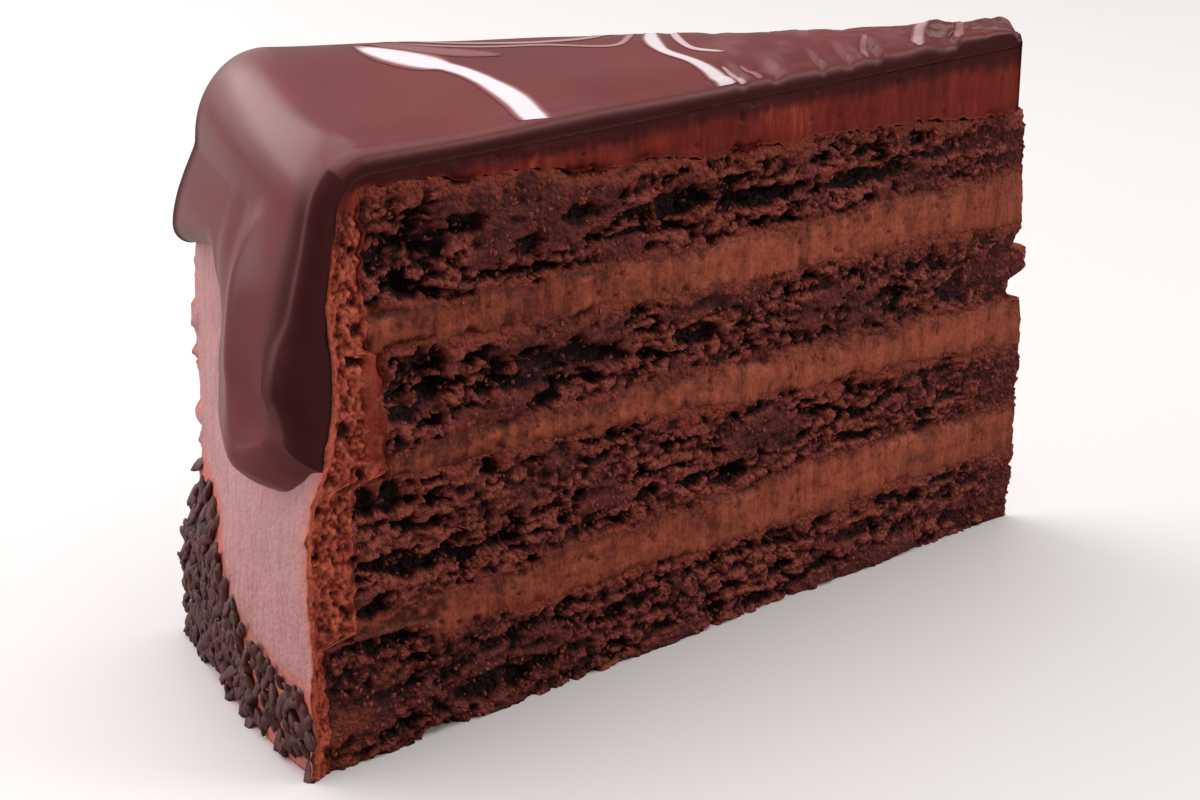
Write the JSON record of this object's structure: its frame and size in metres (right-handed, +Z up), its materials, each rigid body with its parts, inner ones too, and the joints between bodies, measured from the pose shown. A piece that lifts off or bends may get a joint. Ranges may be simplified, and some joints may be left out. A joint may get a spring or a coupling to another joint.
{
  "type": "chocolate layer cake slice",
  "caption": "Upright wedge of chocolate layer cake: sponges and fillings, a frosting coat, a poured glaze with a thick drip at the rim, and chocolate flakes on the rim's foot.",
  "frame": {"origin": "middle of the footprint's bounding box, at the board", "axes": "+X from the rim towards the tip of the slice, +Y towards the cut that the picture hides, +Z up"},
  "size_m": [0.1338, 0.0504, 0.0845],
  "materials": {
    "sponge": "torn dark chocolate sponge",
    "filling": "soft chocolate buttercream, smeared by the knife",
    "frosting": "milk chocolate frosting with dark flakes on its foot",
    "glaze": "satin poured chocolate glaze with white swirls"
  },
  "bodies": {
    "root": {"sponge_1": "sponge", "filling_1": "filling", "sponge_2": "sponge", "filling_2": "filling", "sponge_3": "sponge", "filling_3": "filling", "sponge_4": "sponge", "coat": "frosting", "glaze": "glaze"}
  },
  "joints": []
}
